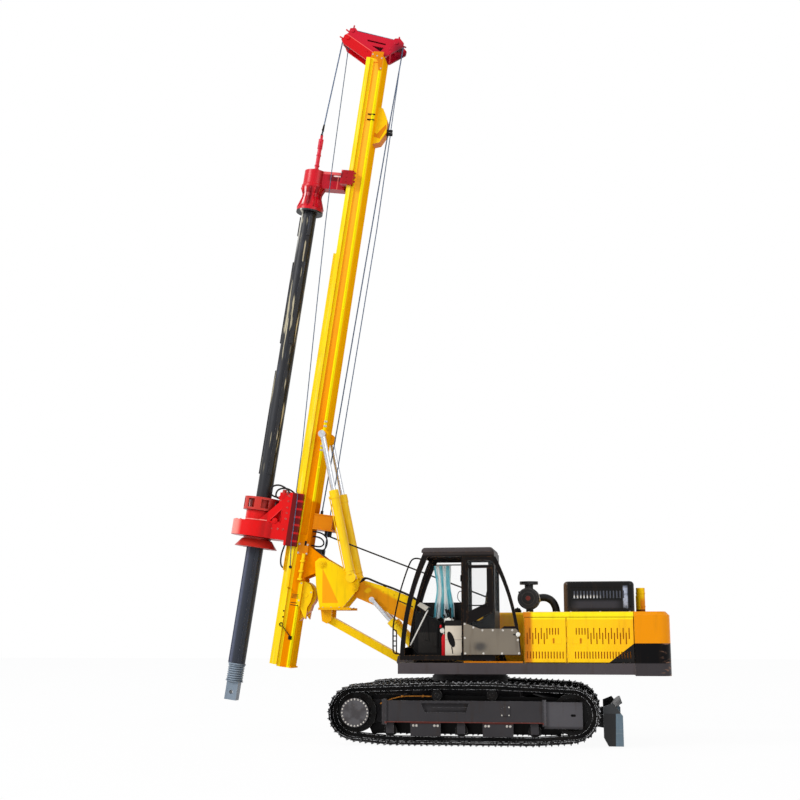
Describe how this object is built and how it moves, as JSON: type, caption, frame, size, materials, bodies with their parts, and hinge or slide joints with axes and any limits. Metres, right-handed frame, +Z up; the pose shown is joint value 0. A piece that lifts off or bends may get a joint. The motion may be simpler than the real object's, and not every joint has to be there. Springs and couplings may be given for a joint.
{
  "type": "rotary piling rig",
  "caption": "Tracked rotary piling rig with a leaning mast, kelly bar, rotary head, slewing upper with cab, hood and counterweight, and a rear blade.",
  "frame": {"origin": "on the ground, on the slewing axis midway between the tracks", "axes": "+X forward towards the mast, +Y to the machine's left where the cab is, +Z up"},
  "size_m": [7.371, 2.9, 12.642],
  "materials": {
    "yellow_paint": "gloss paint",
    "red_paint": "gloss paint",
    "black_paint": "semi-gloss paint",
    "grey_paint": "satin paint",
    "track_steel": "bare worn steel",
    "kelly_steel": "semi-gloss paint, scuffed",
    "blade_steel": "scratched paint",
    "rod_chrome": "ground and plated",
    "window_glass": "clear",
    "cab_trim": "grained",
    "seat_cloth": "woven",
    "curtain_cloth": "woven",
    "hose_rubber": "smooth",
    "engine_iron": "as cast",
    "stub_steel": "worn blue-grey paint"
  },
  "bodies": {
    "undercarriage": {"track_left": "track_steel", "track_right": "track_steel", "track_frame_left": "grey_paint", "track_frame_right": "grey_paint", "sprocket_left": "track_steel", "sprocket_right": "track_steel", "track_wheels_left": "track_steel", "track_wheels_right": "track_steel", "centre_frame": "grey_paint", "slew_ring": "grey_paint"},
    "blade": {"blade": "blade_steel"},
    "blade_ram_barrel": {"blade_ram_barrel": "black_paint"},
    "blade_ram_rod": {"blade_ram_rod": "rod_chrome"},
    "upper": {"deck_frame": "grey_paint", "counterweight": "yellow_paint", "hood_panel_right": "yellow_paint", "hood_top": "yellow_paint", "hood_frame": "yellow_paint", "engine_block": "engine_iron", "exhaust_stack": "yellow_paint", "air_cleaner": "black_paint", "intake_hose": "hose_rubber", "side_tanks": "yellow_paint", "main_winch": "yellow_paint", "cab_shell": "black_paint", "cab_roof": "black_paint", "cab_glass": "window_glass", "cab_consoles": "cab_trim", "seat_base": "cab_trim", "seat_cushion": "seat_cloth", "seat_back": "seat_cloth", "curtain": "curtain_cloth", "cab_rails": "black_paint"},
    "hood_door_front": {"hood_door_front": "yellow_paint"},
    "hood_door_rear": {"hood_door_rear": "yellow_paint"},
    "engine_cover": {"engine_cover": "black_paint"},
    "cab_door": {"cab_door": "black_paint", "door_glass": "window_glass"},
    "boom": {"boom": "yellow_paint"},
    "lower_link": {"lower_link": "yellow_paint"},
    "mast_bracket": {"mast_bracket": "yellow_paint"},
    "lift_barrels": {"lift_barrels": "yellow_paint"},
    "lift_rods": {"lift_rods": "rod_chrome"},
    "tilt_barrels": {"tilt_barrels": "yellow_paint"},
    "tilt_rods": {"tilt_rods": "rod_chrome"},
    "mast": {"mast": "yellow_paint", "mast_rails": "yellow_paint", "cathead": "red_paint", "cathead_sheaves": "red_paint", "pulley_housings": "yellow_paint", "crowd_winch": "yellow_paint", "rope_bracket": "yellow_paint"},
    "head": {"head_carriage": "red_paint", "head_gearbox": "red_paint"},
    "drive_sleeve": {"drive_sleeve": "red_paint"},
    "follower": {"follower": "red_paint"},
    "kelly_outer": {"kelly_outer": "kelly_steel"},
    "kelly_inner": {"kelly_inner": "stub_steel"}
  },
  "joints": [
    {"name": "slew", "type": "hinge", "parent": "undercarriage", "child": "upper", "pos_m": [0, 0, 1.03], "axis": [0, 0, 1], "continuous": true},
    {"name": "blade_lift", "type": "hinge", "parent": "undercarriage", "child": "blade", "pos_m": [-1.2, 0, 0.45], "axis": [0, 1, 0], "range_deg": [-12, 15]},
    {"name": "blade_ram_swing", "type": "hinge", "parent": "undercarriage", "child": "blade_ram_barrel", "pos_m": [-0.985, 0, 0.79], "axis": [0, 1, 0], "range_deg": [-9.64, 11.93]},
    {"name": "blade_ram_slide", "type": "slide", "parent": "blade_ram_barrel", "child": "blade_ram_rod", "axis": [-0.9649, 0, -0.2628], "range_m": [-0.07614, 0.06151]},
    {"name": "hood_door_front_swing", "type": "hinge", "parent": "upper", "child": "hood_door_front", "pos_m": [-0.985, 1.31, 1.6], "axis": [0, 0, -1], "range_deg": [0, 90]},
    {"name": "hood_door_rear_swing", "type": "hinge", "parent": "upper", "child": "hood_door_rear", "pos_m": [-1.633, 1.31, 1.6], "axis": [0, 0, -1], "range_deg": [0, 90]},
    {"name": "engine_cover_lift", "type": "hinge", "parent": "upper", "child": "engine_cover", "pos_m": [-2.1, -0.759, 2.04], "axis": [1, 0, 0], "range_deg": [0, 60]},
    {"name": "cab_door_swing", "type": "hinge", "parent": "upper", "child": "cab_door", "pos_m": [-0.02, 1.3425, 2.1], "axis": [0, 0, -1], "range_deg": [0, 180]},
    {"name": "boom_luff", "type": "hinge", "parent": "upper", "child": "boom", "pos_m": [0.586, 0, 1.741], "axis": [0, -1, 0], "range_deg": [-10, 25]},
    {"name": "lower_link_swing", "type": "hinge", "parent": "upper", "child": "lower_link", "pos_m": [1.075, 0, 1.243], "axis": [0, -1, 0], "range_deg": [-10.5, 25.5]},
    {"name": "bracket_level", "type": "hinge", "parent": "boom", "child": "mast_bracket", "pos_m": [1.9, 0, 2.45], "axis": [0, -1, 0], "range_deg": [-25.5, 10.5]},
    {"name": "lift_barrel_swing", "type": "hinge", "parent": "upper", "child": "lift_barrels", "pos_m": [0.78, 0, 1.35], "axis": [0, -1, 0], "range_deg": [-8.88, 21.45]},
    {"name": "lift_rod_slide", "type": "slide", "parent": "lift_barrels", "child": "lift_rods", "axis": [0.6708, 0, 0.7417], "range_m": [-0.06945, 0.16912]},
    {"name": "mast_tilt", "type": "hinge", "parent": "mast_bracket", "child": "mast", "pos_m": [2.472, 0, 2.867], "axis": [0, -1, 0], "range_deg": [-13.2, 6.8]},
    {"name": "tilt_barrel_swing", "type": "hinge", "parent": "mast_bracket", "child": "tilt_barrels", "pos_m": [1.94, 0, 2.625], "axis": [0, -1, 0], "range_deg": [-11.74, 6.29]},
    {"name": "tilt_rod_slide", "type": "slide", "parent": "tilt_barrels", "child": "tilt_rods", "axis": [0.2096, 0, 0.9778], "range_m": [-0.05603, 0.10593]},
    {"name": "head_crowd", "type": "slide", "parent": "mast", "child": "head", "axis": [-0.1426, 0, 0.9898], "range_m": [-0.6, 3.5]},
    {"name": "kelly_hoist", "type": "slide", "parent": "mast", "child": "follower", "axis": [-0.1426, 0, 0.9898], "range_m": [-4.8, 0.9]},
    {"name": "kelly_spin", "type": "hinge", "parent": "follower", "child": "kelly_outer", "pos_m": [2.83086, 0, 9.18275], "axis": [-0.1426, 0, 0.9898], "continuous": true},
    {"name": "sleeve_spin", "type": "hinge", "parent": "head", "child": "drive_sleeve", "pos_m": [3.65811, 0, 3.44205], "axis": [-0.1426, 0, 0.9898], "continuous": true},
    {"name": "kelly_extend", "type": "slide", "parent": "kelly_outer", "child": "kelly_inner", "axis": [0.1426, 0, -0.9898], "range_m": [0, 6]}
  ],
  "couplings": [
    {"joint": "blade_ram_swing", "follows": "blade_lift", "ratio": 0.76178},
    {"joint": "blade_ram_slide", "follows": "blade_lift", "m_per_rad": -0.27938},
    {"joint": "lower_link_swing", "follows": "boom_luff", "ratio": 1},
    {"joint": "bracket_level", "follows": "boom_luff", "ratio": -1},
    {"joint": "lift_barrel_swing", "follows": "boom_luff", "ratio": 0.8382},
    {"joint": "lift_rod_slide", "follows": "boom_luff", "m_per_rad": 0.38071},
    {"joint": "tilt_barrel_swing", "follows": "mast_tilt", "ratio": 0.85165},
    {"joint": "tilt_rod_slide", "follows": "mast_tilt", "m_per_rad": -0.44679},
    {"joint": "sleeve_spin", "follows": "kelly_spin", "ratio": 1}
  ]
}
